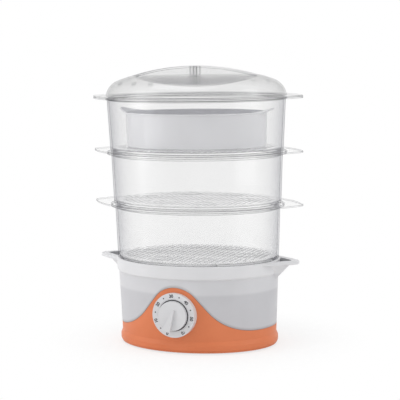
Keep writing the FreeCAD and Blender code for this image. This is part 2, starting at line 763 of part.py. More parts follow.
def make_timer():
    disc_depth = "(2 * dial_depth)"
    disc = cylinder("dial_disc", "dial_radius", disc_depth, y=f"-({DIAL_FACE} - {disc_depth})",
                    z=DIAL_HEIGHT, toward="front")
    lip = "-base_taper + lip_bulge + shell_clearance / 2"
    seat = oval_solid("dial_seat", (lip, "skirt_lift"), (lip, "skirt_lift + lip_height"),
                      ("-base_taper + shell_clearance / 2", WALL_LOW),
                      ("shell_clearance / 2", LEDGE))
    flange = cut("dial_flange", disc, seat)
    spigot = cylinder("dial_spigot", "dial_spigot_radius", "dial_depth - knob_recess", y=f"-{DIAL_BACK}",
                      z=DIAL_HEIGHT, toward="front")
    core = cylinder("dial_core", "dial_spigot_radius - dial_wall",
                    "dial_depth - knob_recess - dial_wall + overcut", y=f"-{DIAL_BACK} + overcut",
                    z=DIAL_HEIGHT, toward="front")
    boss_depth = "(dial_depth - knob_recess - dial_wall / 2)"
    boss = box("dial_boss", "dial_boss_length", boss_depth, "dial_boss_height",
               y=f"-{DIAL_BACK} - {boss_depth} / 2", z=f"{DIAL_HEIGHT} - dial_boss_height / 2")
    tube = cut("dial_tube", fuse("dial_solid", flange, spigot), core)
    recess = cylinder("dial_recess", "knob_radius + knob_ring_gap", "knob_recess + overcut",
                      y=f"-({DIAL_FACE} - knob_recess)", z=DIAL_HEIGHT, toward="front")
    shaft_way = cylinder("dial_shaft_hole", "shaft_radius + shaft_hole", "dial_depth + 2 * overcut",
                         y=f"-{DIAL_BACK} + overcut", z=DIAL_HEIGHT, toward="front")
    head_sinks = timer_screw_set("head_sink", "timer_screw_head_radius + screw_clearance",
                                 f"-{SCREW_SEAT}", "timer_screw_head + overcut")
    screw_ways = timer_screw_set("screw_way", "timer_screw_radius + screw_clearance",
                                 f"-{DIAL_BACK} + overcut", "dial_depth")
    finish("dial_plate", cut("dial_plate", fuse("dial_backed", tube, boss), recess, shaft_way,
                             *head_sinks, *screw_ways))

    heads = timer_screw_set("timer_screw_head", "timer_screw_head_radius", f"-{SCREW_SEAT}",
                            "timer_screw_head - timer_screw_sink")
    shanks = timer_screw_set("timer_screw_shank", "timer_screw_radius",
                             f"-({SCREW_SEAT} - timer_screw_length)",
                             "timer_screw_length + timer_screw_head / 2")
    finish("timer_screws", compound("timer_screws", fuse("timer_screw_left", heads[0], shanks[0]),
                                    fuse("timer_screw_right", heads[1], shanks[1])))

    case = box("timer_box", "timer_width", "timer_depth", "timer_width",
               y=f"-{DIAL_BACK} + timer_depth / 2", z=f"{DIAL_HEIGHT} - timer_width / 2")
    post = cylinder("bell_post", "bell_post_radius", "bell_standoff + bell_wall + overcut",
                    y=f"-{DIAL_BACK} + timer_depth - overcut", z=DIAL_HEIGHT, toward="back")
    bore = cylinder("timer_bore", "shaft_radius + running_clearance", "timer_bore_depth + overcut",
                    y=f"-{DIAL_BACK} + timer_bore_depth", z=DIAL_HEIGHT, toward="front")
    pilots = timer_screw_set("timer_pilot", "timer_screw_radius + screw_clearance",
                             f"-({SCREW_SEAT} - timer_screw_length - overcut)",
                             "timer_screw_length + 2 * overcut")
    finish("timer_case", cut("timer_case", fuse("timer_with_post", case, post), bore, *pilots))

    bell_y = f"-{DIAL_BACK} + timer_depth + bell_standoff"
    cup = cylinder("bell_cup", "bell_radius", "bell_depth", y=bell_y, z=DIAL_HEIGHT, toward="back")
    cup_hollow = cylinder("bell_hollow", "bell_radius - bell_wall", "bell_depth",
                          y=f"{bell_y} + bell_wall", z=DIAL_HEIGHT, toward="back")
    cup_hole = cylinder("bell_hole", "bell_post_radius + running_clearance", "bell_wall + 2 * overcut",
                        y=f"{bell_y} - overcut", z=DIAL_HEIGHT, toward="back")
    finish("timer_bell", cut("timer_bell", cup, cup_hollow, cup_hole))


def make_knob():
    disc = cylinder("knob_disc", "knob_radius", "knob_thickness", y=f"-{KNOB_BACK}", z=DIAL_HEIGHT,
                    toward="front")
    pointer = doc.addObject("Part::Wedge", "pointer")
    bind(pointer, {
        "Xmin": "-pointer_width / 2", "Xmax": "pointer_width / 2",
        "Ymin": "-pointer_reach", "Ymax": "pointer_tail",
        "Zmin": "-knob_thickness / 2", "Zmax": "pointer_height",
        "X2min": "-pointer_tail_width / 2", "X2max": "pointer_tail_width / 2",
        "Z2min": "-knob_thickness / 2", "Z2max": "pointer_tail_height",
    })
    face_front = FreeCAD.Rotation(FreeCAD.Vector(1, 0, 0), 90)
    swing = FreeCAD.Rotation(FreeCAD.Vector(0, 1, 0), value("pointer_angle") - 180)
    pointer.Placement = FreeCAD.Placement(FreeCAD.Vector(), swing.multiply(face_front))
    place(pointer, y=f"-({KNOB_BACK} + knob_thickness)", z=DIAL_HEIGHT)
    round_end = cylinder("pointer_end", "pointer_reach", "knob_thickness + pointer_height + overcut",
                         y=f"-{KNOB_BACK}", z=DIAL_HEIGHT, toward="front")
    under = cylinder("knob_under", "knob_radius - knob_wall", "knob_thickness - knob_wall + overcut",
                     y=f"-{KNOB_BACK} + overcut", z=DIAL_HEIGHT, toward="front")
    hub = cylinder("knob_hub", "knob_hub_radius", "knob_thickness - knob_wall / 2", y=f"-{KNOB_BACK}",
                   z=DIAL_HEIGHT, toward="front")
    socket = cylinder("knob_socket", "shaft_radius + shaft_fit", "shaft_engagement + shaft_fit + overcut",
                      y=f"-{KNOB_BACK} + overcut", z=DIAL_HEIGHT, toward="front")
    spring_radius = "shaft_radius + shaft_fit + spring_wall"
    spring_slot = cylinder("spring_slot", f"{spring_radius} + screw_clearance",
                           "2 * spring_slot_depth", y=f"-{KNOB_BACK} - spring_slot_depth",
                           z=DIAL_HEIGHT, toward="front")
    shell = cut("knob_shell", fuse("knob_solid", disc, common("pointer_trim", pointer, round_end)), under)
    finish("timer_knob", cut("timer_knob", fuse("knob_hubbed", shell, hub), socket, spring_slot))

    shaft_back = f"({DIAL_BACK} - timer_bore_depth + overcut)"
    rod = cylinder("shaft_rod", "shaft_radius", f"{SHAFT_END} - {shaft_back}", y=f"-{shaft_back}",
                   z=DIAL_HEIGHT, toward="front")
    flat = box("shaft_flat_cut", "shaft_radius * 3", "shaft_engagement + overcut", "shaft_radius",
               y=f"-{SHAFT_END} + (shaft_engagement - overcut) / 2", z=f"{DIAL_HEIGHT} + shaft_flat")
    finish("timer_shaft", cut("timer_shaft", rod, flat))

    spring_y = f"-({KNOB_BACK} + spring_slot_depth + spring_thickness / 2)"
    ring = cylinder("spring_ring", spring_radius, "spring_thickness", y=spring_y, z=DIAL_HEIGHT,
                    toward="front")
    ring_hole = cylinder("spring_ring_hole", "shaft_radius + running_clearance",
                         "spring_thickness + 2 * overcut", y=f"{spring_y} + overcut", z=DIAL_HEIGHT,
                         toward="front")
    ring_split = box("spring_ring_split", "spring_split", "spring_thickness + 2 * overcut",
                     "2 * shaft_radius", y=f"{spring_y} - spring_thickness / 2",
                     z=f"{DIAL_HEIGHT} - 2 * shaft_radius")
    finish("knob_spring_clip", cut("knob_spring_clip", ring, ring_hole, ring_split))


# ---------------------------------------------------------------- mains inlet
def make_inlet():
    wall_y = wall_at("gland_height")
    outer = cylinder("gland_flange", "gland_flange_radius", "gland_flange",
                     y=f"{wall_y} + shell_clearance / 2", z="gland_height", toward="back")
    barrel = cylinder("gland_barrel", "gland_radius", "skirt_wall + gland_tail + gland_flange / 2",
                      y=f"{wall_y} - skirt_wall - gland_tail", z="gland_height", toward="back")
    lock = cylinder("gland_lock", "gland_flange_radius", "gland_tail / 2",
                    y=f"{wall_y} - skirt_wall - gland_tail / 2 - shell_clearance", z="gland_height",
                    toward="back")
    bore = cylinder("gland_bore", "gland_bore_radius", "base_half_length",
                    y=f"{wall_y} - skirt_wall - gland_tail - overcut", z="gland_height", toward="back")
    finish("cord_gland", cut("cord_gland", fuse("gland_body", outer, barrel, lock), bore))

    bar = box("clamp_bar", "clamp_bar_length", "clamp_bar_width", "clamp_bar_thickness", y=POST_Y,
              z=POST_TOP)
    finish("cord_clamp", cut("cord_clamp", bar, *clamp_screw_holes("clamp_hole_bar")))
    screws = []
    for side, sign in (("left", "-"), ("right", "")):
        x = f"{sign}post_place_x"
        top = f"{POST_TOP} + clamp_bar_thickness"
        head = cylinder(f"clamp_head_{side}", "timer_screw_head_radius", "timer_screw_head", x, POST_Y, top)
        shank = cylinder(f"clamp_shank_{side}", "timer_screw_radius", "clamp_screw_length",
                         x, POST_Y, f"{top} - clamp_screw_length + timer_screw_head / 2")
        screws.append(fuse(f"clamp_screw_{side}", head, shank))
    finish("clamp_screws", compound("clamp_screws", *screws))

    block = box("block_body", "block_length", "block_width", "block_height", "-block_place_x",
                "block_place_y", COVER_TOP)
    ways = []
    for number in (-1, 0, 1):
        ways.append(cylinder(f"block_way_{number + 2}", "timer_screw_radius + screw_clearance",
                             "block_width + 2 * overcut",
                             x=f"-block_place_x + {number} * block_screw_pitch",
                             y="block_place_y - block_width / 2 - overcut",
                             z=f"{COVER_TOP} + block_height / 2", toward="back"))
    finish("terminal_block", cut("terminal_block", block, *ways))


# ---------------------------------------------------------------- turbo ring and drip tray
def make_steam_parts():
    low = f"({TANK_FLOOR} + seat_gap)"
    height = f"({TRAY_UNDER} - turbo_clearance - {low})"
    tube = cylinder("turbo_tube", "turbo_radius", height, z=low)
    hole = cylinder("turbo_hole", "turbo_radius - turbo_wall", f"{height} + 2 * overcut",
                    z=f"{low} - overcut")
    slot_x = box("turbo_slot_x", "turbo_radius * 3", "turbo_slot_width", "turbo_slot_height + overcut",
                 z=f"{low} - overcut")
    slot_y = box("turbo_slot_y", "turbo_slot_width", "turbo_radius * 3", "turbo_slot_height + overcut",
                 z=f"{low} - overcut")
    finish("turbo_ring", cut("turbo_ring", tube, hole, slot_x, slot_y))

    seat = f"({TANK_TOP} + seat_gap)"
    reach = f"{TANK_REACH} - tank_wall - nest_clearance"
    pan = oval_solid("tray_pan", (f"{reach} - tray_draft", TRAY_UNDER),
                     (reach, f"{seat} + tray_wall / 2"))
    flange_reach = f"{RIM_MOUTH} - nest_clearance"
    rim_top = f"{BOTTOM[1]} - foot_depth - seat_gap"
    flange = oval_solid("tray_flange", (flange_reach, seat), (flange_reach, rim_top))
    pan_hollow = oval_solid("tray_hollow",
                            (f"{reach} - tray_draft - tray_wall", f"{TRAY_UNDER} + tray_wall"),
                            (f"{reach} - tray_wall", f"{seat} + tray_wall"))
    rim_hollow = oval_solid("tray_rim_hollow", (f"{flange_reach} - tray_wall", f"{seat} + tray_wall"),
                            (f"{flange_reach} - tray_wall", f"{rim_top} + overcut"))
    chimney = cylinder("chimney_tube", "chimney_radius", "chimney_height", z=TRAY_UNDER)
    flue = cylinder("chimney_flue", "chimney_radius - tray_wall", "chimney_height - tray_wall + overcut",
                    z=f"{TRAY_UNDER} - overcut")
    windows = []
    for number in range(4):
        window = box(f"chimney_window_{number + 1}", "chimney_radius * 3", "chimney_window_width",
                     "chimney_window", z=f"{TRAY_UNDER} + chimney_height - tray_wall - chimney_window")
        turn = FreeCAD.Rotation(FreeCAD.Vector(0, 0, 1), 45 * number)
        turned = compound(f"chimney_turned_{number + 1}", window)
        turned.Placement = FreeCAD.Placement(FreeCAD.Vector(), turn)
        windows.append(turned)
    dish = cut("tray_dish", fuse("tray_body", pan, flange), pan_hollow, rim_hollow)
    finish("drip_tray", cut("drip_tray", fuse("tray_with_chimney", dish, chimney), flue, *windows))


# ---------------------------------------------------------------- bowls and grates
def make_bowl(tier):
    low, high = BOTTOM[tier], TOP[tier]
    foot, bottom, top = FOOT_REACH[tier], LOW_REACH[tier], HIGH_REACH[tier]
    name = f"bowl_{tier}"
    outer = oval_solid(f"{name}_outer", (f"{foot} - foot_draft", f"{low} - foot_depth"),
                       (foot, f"{low} + bowl_wall / 2"))
    wall = oval_solid(f"{name}_wall", (bottom, low), (top, high))
    flange = lens_plate(f"{name}_flange", "base_half_length + tab_reach",
                        f"{BASE_HALF_WIDTH} + {top} + flange_reach", f"{high} - flange_thickness",
                        "flange_thickness", "tab_round")
    reach, depth = ("flange_reach", "flange_lip") if tier < 3 else ("top_flange_reach", "top_flange_lip")
    lip_low = f"{high} - {depth}"
    lip_high = f"{high} - flange_thickness / 2"
    lip_out = f"{top} + {reach} - flange_lip_inset"
    lip_in = f"{top} + {reach} - flange_lip_wall"
    lip_outer = oval_solid(f"{name}_lip_outer", (lip_out, lip_low), (lip_out, lip_high))
    lip_inner = oval_solid(f"{name}_lip_inner", (lip_in, f"{lip_low} - overcut"),
                           (lip_in, f"{lip_high} + overcut"))
    lip = cut(f"{name}_lip", lip_outer, lip_inner)
    foot_hollow = oval_solid(f"{name}_foot_hollow",
                             (f"{foot} - foot_draft - bowl_wall", f"{low} - foot_depth - overcut"),
                             (f"{foot} - bowl_wall", f"{low} + bowl_wall + overcut"))
    hollow = oval_solid(f"{name}_hollow", (f"{bottom} - bowl_wall", f"{low} + bowl_wall"),
                        (f"{top} - bowl_wall", high), (f"{top} - bowl_wall", f"{high} + overcut"))
    finish(name, cut(name, fuse(f"{name}_body", outer, wall, flange, lip), foot_hollow, hollow))


def slotted_plate(name, tier):
    """Oval plate with straight slots across it, in three rows that keep clear of the edge."""
    reach = f"{LOW_REACH[tier]} - bowl_wall - grate_clearance"
    half_length = value(f"base_half_length + {reach}")
    half_width = value(f"{BASE_HALF_WIDTH} + {reach}")
    border, pitch, width = value("grate_border"), value("slot_pitch"), value("slot_width")
    length, bar = value("slot_length"), value("slot_bar")
    low = value(GRATE[tier])
    outline = Part.Ellipse(FreeCAD.Vector(0, 0, low), half_length, half_width).toShape()
    wires = [Part.Wire([outline])]
    columns = int((half_length - border) // pitch)
    for column in range(-columns, columns + 1):
        x = column * pitch
        far_x = (abs(x) + width / 2) / (half_length - border)
        limit = (half_width - border) * math.sqrt(max(0, 1 - far_x ** 2))
        for row in (-1, 0, 1):
            front = max(row * (length + bar) - length / 2, -limit)
            back = min(row * (length + bar) + length / 2, limit)
            if back - front > 2 * width:
                corners_xy = ((x - width / 2, front), (x + width / 2, front), (x + width / 2, back),
                              (x - width / 2, back), (x - width / 2, front))
                wires.append(Part.makePolygon([FreeCAD.Vector(cx, cy, low) for cx, cy in corners_xy]))
    face = Part.makeFace(wires, "Part::FaceMakerBullseye")
    return coded(name, face.extrude(FreeCAD.Vector(0, 0, value("grate_thickness"))))


def make_grate(tier):
    name = f"grate_{tier}"
    rings = []
    egg_places = [("-egg_side_x", "0"), ("egg_side_x", "0")]
    egg_places += corners("place", lambda _, x, y: (x, y), "egg_pair_x", "egg_pair_y")
    for number, (x, y) in enumerate(egg_places, start=1):
        walls = []
        for layer, radius in (("outer", "egg_ring_radius"), ("inner", "egg_ring_radius - egg_ring_wall")):
            prism = doc.addObject("Part::Prism", f"{name}_egg_{layer}_{number}")
            prism.Polygon = 6
            bind(prism, {"Circumradius": radius, "Height": "egg_ring_height + grate_thickness / 2"})
            walls.append(place(prism, x, y, f"{GRATE[tier]} + grate_thickness / 2"))
        rings.append(cut(f"{name}_egg_ring_{number}", *walls))
    finish(name, fuse(name, slotted_plate(f"{name}_plate", tier), *rings))


# ---------------------------------------------------------------- rice bowl
def make_rice_bowl():
    reach = f"({LOW_REACH[3]} - bowl_wall - rice_gap)"
    low = f"({GRATE[3]} + grate_thickness + egg_ring_height + seat_gap)"
    rim = f"({low} + rice_height - egg_ring_height)"
    body = oval_solid("rice_body", (f"{reach} - rice_draft", low), (reach, rim))
    bead_reach = f"{reach} + rice_bead"
    bead = oval_solid("rice_bead", (f"{reach} - rice_wall / 2", f"{rim} - rice_bead_height"),
                      (bead_reach, f"{rim} - rice_bead_height / 2"), (bead_reach, rim))
    near = f"{reach} - rice_wall"
    far = f"{reach} + rice_wall + 2 * rice_ear_reach"
    ear_cone = oval_solid("rice_ear_cone", (near, f"{rim} - rice_wall"),
                          (far, f"{rim} - rice_wall + 2 * rice_ear_rise"))
    ear_space = oval_solid("rice_ear_space", (near, rim), (far, f"{rim} + 2 * rice_ear_rise"))
    ear_plate = lens_plate("rice_ear_plate", f"base_half_length + {reach} + rice_ear_reach",
                           "rice_ear_half_width", f"{rim} - 2 * rice_wall",
                           "2 * rice_wall + rice_ear_rise", "rice_ear_round")
    ear_root = oval_solid("rice_ear_root", (f"{reach} - rice_wall / 2", f"{rim} - 3 * rice_wall"),
                          (f"{reach} - rice_wall / 2", f"{rim} + rice_ear_rise"))
    left_side = box("rice_left_side", "2 * base_half_length", "2 * base_half_length", "2 * rice_height",
                    x="-base_half_length * 1.5", z=low)
    wedge = common("rice_ear_wedge", ear_cone, ear_plate, left_side)
    left_ear = cut("rice_ear_left", wedge, ear_space, ear_root)
    right_ear = doc.addObject("Part::Mirroring", "rice_ear_right")
    right_ear.Source = left_ear
    right_ear.Normal = FreeCAD.Vector(1, 0, 0)
    hollow = oval_solid("rice_hollow", (f"{reach} - rice_draft - rice_wall", f"{low} + rice_wall"),
                        (f"{reach} - rice_wall", f"{rim} + overcut"))
    shell = cut("rice_shell", fuse("rice_beaded", body, bead), hollow)
    finish("rice_bowl", fuse("rice_bowl", shell, left_ear, right_ear))


# ---------------------------------------------------------------- lid
def oval_dome(half_length, half_width, low, top, crown_radius, corner_radius):
    """Domed solid: a wide crown arc that turns down through a corner arc, oval in plan."""
    crown_z = top - crown_radius
    corner_x = half_length - corner_radius
    corner_z = crown_z + math.sqrt((crown_radius - corner_radius) ** 2 - corner_x ** 2)
    spread = crown_radius / (crown_radius - corner_radius)
    join = FreeCAD.Vector(corner_x * spread, 0, crown_z + (corner_z - crown_z) * spread)
    side_x = corner_x + math.sqrt(corner_radius ** 2 - (low - corner_z) ** 2)
    first_turn = math.asin((low - corner_z) / corner_radius)
    last_turn = math.atan2(join.z - corner_z, join.x - corner_x)
    half_turn = (first_turn + last_turn) / 2
    corner_mid = FreeCAD.Vector(corner_x + corner_radius * math.cos(half_turn), 0,
                                corner_z + corner_radius * math.sin(half_turn))
    half_crown = math.asin(join.x / crown_radius) / 2
    crown_mid = FreeCAD.Vector(crown_radius * math.sin(half_crown), 0,
                               crown_z + crown_radius * math.cos(half_crown))
    peak = FreeCAD.Vector(0, 0, top)
    edge = FreeCAD.Vector(side_x, 0, low)
    middle = FreeCAD.Vector(0, 0, low)
    profile = Part.Wire([
        Part.LineSegment(middle, edge).toShape(),
        Part.Arc(edge, corner_mid, join).toShape(),
        Part.Arc(join, crown_mid, peak).toShape(),
        Part.LineSegment(peak, middle).toShape(),
    ])
    round_dome = Part.Face(profile).revolve(FreeCAD.Vector(0, 0, 0), FreeCAD.Vector(0, 0, 1), 360)
    squeeze = FreeCAD.Matrix()
    squeeze.scale(1, half_width / half_length, 1)
    return round_dome.transformGeometry(squeeze)


def oval_dish(half_length, half_width, depth, rim_z, grow):
    """Cap of an oval ball that hangs under the plane of the dish's rim."""
    radius = (half_length ** 2 + depth ** 2) / (2 * depth)
    ball = Part.makeSphere(radius + grow, FreeCAD.Vector(0, 0, rim_z - depth + radius))
    squeeze = FreeCAD.Matrix()
    squeeze.scale(1, half_width / half_length, 1)
    oval_ball = ball.transformGeometry(squeeze)
    span = half_length * 3
    slab = Part.makeBox(span, span, depth * 3, FreeCAD.Vector(-span / 2, -span / 2, rim_z - depth * 3))
    return oval_ball.common(slab)


def slab_along_ridge(half_width, low, top):
    span = value("base_half_length") * 4
    return Part.makeBox(span, 2 * half_width, top - low, FreeCAD.Vector(-span / 2, -half_width, low))


def lid_form(inset):
    """The lid's dome with its dished top and the ridge across it, set in by a wall."""
    low = value(f"{TOP[3]} + seat_gap + lid_flange / 2")
    top = value(f"{TOP[3]} + seat_gap + lid_height") - inset
    rim = value(f"{TOP[3]} + seat_gap + lid_height - dish_drop") - inset
    reach = value(f"{HIGH_REACH[3]} + dome_proud") - inset
    half_length = value("base_half_length") + reach
    half_width = value(BASE_HALF_WIDTH) + reach
    dome = oval_dome(half_length, half_width, low, top, value("crown_radius") - inset,
                     value("corner_radius") - inset)
    span = half_length * 3
    above_rim = Part.makeBox(span, span, top, FreeCAD.Vector(-span / 2, -span / 2, rim))
    dish_length = value("dish_half_length")
    dish = oval_dish(dish_length, dish_length * half_width / half_length, value("dish_depth"),
                     rim + inset, inset)
    ridge = dome.common(slab_along_ridge(value("ridge_half_width") - inset, rim - value("dish_depth"), top))
    return dome.cut(above_rim).cut(dish).fuse(ridge)


def make_lid():
    low = f"({TOP[3]} + seat_gap)"
    top = f"{low} + lid_height"
    shell = coded("lid_shell_outer", lid_form(0))
    cavity = coded("lid_cavity", lid_form(value("lid_wall")))
    flange = lens_plate("lid_flange_plate", "base_half_length + tab_reach",
                        f"{BASE_HALF_WIDTH} + {HIGH_REACH[3]} + flange_reach", low, "lid_flange",
                        "tab_round")
    ring_reach = f"{HIGH_REACH[3]} - bowl_wall - nest_clearance"
    ring = oval_solid("lid_ring", (f"{ring_reach} - foot_draft", f"{low} - lid_ring_depth"),
                      (ring_reach, f"{low} + lid_flange / 2"))
    throat = oval_solid("lid_throat",
                        (f"{ring_reach} - foot_draft - lid_wall", f"{low} - lid_ring_depth - overcut"),
                        (f"{ring_reach} - lid_wall", f"{low} + lid_flange"))
    ribs = []
    for number in (-1, 0, 1):
        ribs.append(box(f"grip_rib_{number + 2}", "grip_rib_width", "2 * (ridge_half_width + grip_rib_proud)",
                        "dish_drop + dish_depth + lid_wall / 2 - grip_rib_drop",
                        x=f"{number} * grip_rib_pitch",
                        z=f"{top} - dish_drop - dish_depth - lid_wall / 2"))
    vents = []
    for number in (1, 2, 3):
        for side, sign in (("front", "-"), ("back", "")):
            vents.append(cylinder(f"vent_{side}_{number}", "vent_radius", "lid_height",
                                  f"{sign}vent_{number}_x", f"{sign}vent_{number}_y",
                                  f"{low} + lid_flange + overcut"))
    finish("lid", cut("lid", fuse("lid_body", shell, flange, ring, *ribs), cavity, throat, *vents))


# ---------------------------------------------------------------- build and write
make_housing()
make_skirt()
make_bottom()
make_tank()
make_heater()
make_timer()
make_knob()
make_inlet()
make_steam_parts()
for tier in (1, 2, 3):
    make_bowl(tier)
    make_grate(tier)
make_rice_bowl()
make_lid()
doc.recompute()

for thing in doc.Objects:
    if "Invalid" in thing.State or "Error" in thing.State:
        raise RuntimeError(f"{thing.Name} failed: {thing.State}")
for solid in sub_parts:
    if solid.Shape.isNull() or not solid.Shape.isValid():
        raise RuntimeError(f"{solid.Label} has no valid shape")
for solid in sub_parts:
    solid.Shape.exportStep(f"parts/{solid.Label}.step")
    print(f"{solid.Label:20s} solids {len(solid.Shape.Solids)}  volume {solid.Shape.Volume / 1000:.2f} cm3")
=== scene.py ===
import json
import math

import bmesh
import bpy
from mathutils import Matrix, Vector


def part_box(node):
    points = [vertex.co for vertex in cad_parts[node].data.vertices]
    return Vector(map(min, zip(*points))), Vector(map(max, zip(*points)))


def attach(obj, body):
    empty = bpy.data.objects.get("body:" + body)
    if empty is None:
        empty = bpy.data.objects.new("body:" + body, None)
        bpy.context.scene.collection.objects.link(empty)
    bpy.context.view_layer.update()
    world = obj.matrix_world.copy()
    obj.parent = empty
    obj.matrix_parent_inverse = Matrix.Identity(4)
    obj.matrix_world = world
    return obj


# Electric food steamer on a white studio sweep.  Metres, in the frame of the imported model:
# X along the oval, -Y to the front with the timer dial, +Z up from the surface it stands on.

MM = 0.001

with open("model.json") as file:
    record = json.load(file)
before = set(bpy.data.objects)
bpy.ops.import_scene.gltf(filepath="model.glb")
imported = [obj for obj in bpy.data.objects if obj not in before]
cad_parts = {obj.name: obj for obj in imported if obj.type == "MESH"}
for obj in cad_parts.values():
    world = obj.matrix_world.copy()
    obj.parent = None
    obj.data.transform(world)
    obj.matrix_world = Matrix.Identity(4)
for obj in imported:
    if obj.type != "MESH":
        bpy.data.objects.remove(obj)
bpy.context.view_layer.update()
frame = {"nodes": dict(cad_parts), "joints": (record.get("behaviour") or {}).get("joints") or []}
nodes = frame["nodes"]
scene = bpy.context.scene
scene.view_settings.view_transform = "Standard"
scene.cycles.max_bounces = 24
scene.cycles.transmission_bounces = 16
scene.cycles.transparent_max_bounces = 64


# ---------------------------------------------------------------- camera
CAMERA_PLACE = Vector((0.7061, -1.8081, 0.4378))
HEADING = math.radians(21.209)
PITCH = math.radians(-6.792)
ROLL = math.radians(-0.858)
LENS = 121.66
SENSOR = 36.0
CLIP_START = 0.05
CLIP_END = 30.0
AWAY_FROM_CAMERA = Vector((-math.sin(HEADING), math.cos(HEADING), 0.0))
LEFT_OF_CAMERA = Vector((-math.cos(HEADING), -math.sin(HEADING), 0.0))


def make_camera():
    """Long lens, almost level with the lid, a little to the right of the dial."""
    ahead = AWAY_FROM_CAMERA * math.cos(PITCH) + Vector((0, 0, math.sin(PITCH)))
    right = ahead.cross(Vector((0, 0, 1))).normalized()
    up = right.cross(ahead)
    across = math.cos(ROLL) * right + math.sin(ROLL) * up
    upward = -math.sin(ROLL) * right + math.cos(ROLL) * up
    turn = Matrix((across, upward, -ahead)).transposed().to_4x4()
    data = bpy.data.cameras.new("studio_camera")
    data.lens = LENS
    data.sensor_width = SENSOR
    data.clip_start = CLIP_START
    data.clip_end = CLIP_END
    camera = bpy.data.objects.new("studio_camera", data)
    camera.matrix_world = Matrix.Translation(CAMERA_PLACE) @ turn
    scene.collection.objects.link(camera)
    scene.camera = camera


make_camera()


# ---------------------------------------------------------------- small helpers
SMOOTH = {"interpolation_type": "SMOOTHSTEP"}
TINT = {"data_type": "RGBA", "blend_type": "MULTIPLY"}


def linear(colour):
    """sRGB hex to the linear colour that a socket takes."""
    parts = [int(colour[start:start + 2], 16) / 255 for start in (1, 3, 5)]
    return [part / 12.92 if part <= 0.04045 else ((part + 0.055) / 1.055) ** 2.4 for part in parts] + [1.0]


def add(tree, kind, sockets=None, stops=(), **settings):
    """Add a node with its settings, fill its sockets with values or links, and give a ramp its colour stops.

    A node that is given for a socket stands for its first output in use.
    """
    made = tree.nodes.new(kind)
    for name, setting in settings.items():
        setattr(made, name, setting)
    for name, given in (sockets or {}).items():
        if isinstance(given, bpy.types.Node):
            given = next(output for output in given.outputs if output.enabled)
        if isinstance(given, bpy.types.NodeSocket):
            tree.links.new(given, made.inputs[name])
        else:
            made.inputs[name].default_value = given
    if stops:
        points = made.color_ramp.elements
        while len(points) < len(stops):
            points.new(0.5)
        for point, (place, colour) in zip(points, stops):
            point.position = place
            point.color = linear(colour)
    return made


def new_material(name):
    """An empty material and its node tree."""
    material = bpy.data.materials.new(name)
    material.use_nodes = True
    material.node_tree.nodes.clear()
    return material, material.node_tree


def dress(material, *names):
    """Give CAD nodes a finish."""
    for name in names:
        slots = nodes[name].data.materials
        slots.clear()
        slots.append(material)


# ---------------------------------------------------------------- moulded plastics and rubber
MELT_DRIFT = 55 * MM
PIT_GLOSS = 0.05
PIT_RELIEF = 0.25


def moulded_skin(tree, colour, darker, roughness, grain, depth):
    """Tone that drifts as melt does, and the fine pits of a spark-eroded mould.

    Real pits are about a tenth of a millimetre wide; grain, their width here, is coarser so that they show.
    """
    place = add(tree, "ShaderNodeTexCoord").outputs["Object"]
    drift = add(tree, "ShaderNodeTexNoise", {"Vector": place, "Scale": 1 / MELT_DRIFT, "Detail": 3.0})
    tone = add(tree, "ShaderNodeValToRGB", {"Fac": drift}, stops=((0.35, darker), (0.65, colour)))
    pits = add(tree, "ShaderNodeTexNoise", {"Vector": place, "Scale": 1 / (grain * MM), "Detail": 2.0})
    gloss = add(tree, "ShaderNodeMapRange", {
        "Value": pits, "To Min": roughness - PIT_GLOSS, "To Max": roughness + PIT_GLOSS})
    bump = add(tree, "ShaderNodeBump", {"Height": pits, "Strength": PIT_RELIEF, "Distance": depth * MM})
    return place, tone, gloss, bump


def moulded_plastic(name, colour, darker, roughness, grain, depth, shine=0.5):
    """A plastic or rubber part as it leaves its mould."""
    material, tree = new_material(name)
    _, tone, gloss, bump = moulded_skin(tree, colour, darker, roughness, grain, depth)
    skin = add(tree, "ShaderNodeBsdfPrincipled", {
        "Base Color": tone, "Roughness": gloss, "Normal": bump, "IOR": 1.5, "Specular IOR Level": shine})
    add(tree, "ShaderNodeOutputMaterial", {"Surface": skin})
    return material


# Orange ABS from a spark-eroded mould: an even, warm skin with broad, dull highlights.
dress(moulded_plastic("orange_moulded_abs", "#dd8259", "#d77c53",
                      roughness=0.4, grain=0.8, depth=0.015, shine=0.2), "lower_skirt")

# White ABS from a finer mould: a cool white with soft, small highlights.
dress(moulded_plastic("white_moulded_abs", "#d8d8da", "#d3d3d5",
                      roughness=0.3, grain=0.7, depth=0.01), "dial_plate", "timer_knob")

# White polypropylene, moulded thick: paler and waxier than the shell round it.
dress(moulded_plastic("white_moulded_polypropylene", "#f4f4f5", "#eeeeef",
                      roughness=0.35, grain=0.9, depth=0.02), "water_tank", "drip_tray", "turbo_ring")

# Grey ABS from a coarse mould: a plain, matt cover.
dress(moulded_plastic("grey_moulded_abs", "#c9c9cb", "#c1c1c3",
                      roughness=0.5, grain=0.8, depth=0.03), "bottom_cover")

# Black rubber, moulded soft: nearly no highlight at all.
dress(moulded_plastic("black_moulded_rubber", "#2a2a2b", "#232324",
                      roughness=0.8, grain=0.5, depth=0.03), "rubber_feet", "cord_gland")

# Red silicone, moulded: a dull, slightly greasy skin.
dress(moulded_plastic("red_moulded_silicone", "#9a3a2c", "#8f3327",
                      roughness=0.6, grain=0.6, depth=0.02), "heater_gasket")

# Dark phenolic resin, pressed hot: hard, even and half matt.
dress(moulded_plastic("dark_pressed_phenolic", "#3a3a3c", "#323234",
                      roughness=0.45, grain=0.7, depth=0.02), "thermostat", "timer_case", "cord_clamp")

# Natural nylon, moulded without a dye: a creamy white.
dress(moulded_plastic("natural_moulded_nylon", "#d8d4c6", "#cfcbbd",
                      roughness=0.45, grain=0.7, depth=0.02), "terminal_block")


INWARD_LEAN = -0.5 * MM
CORE_ROUGHNESS = 0.5


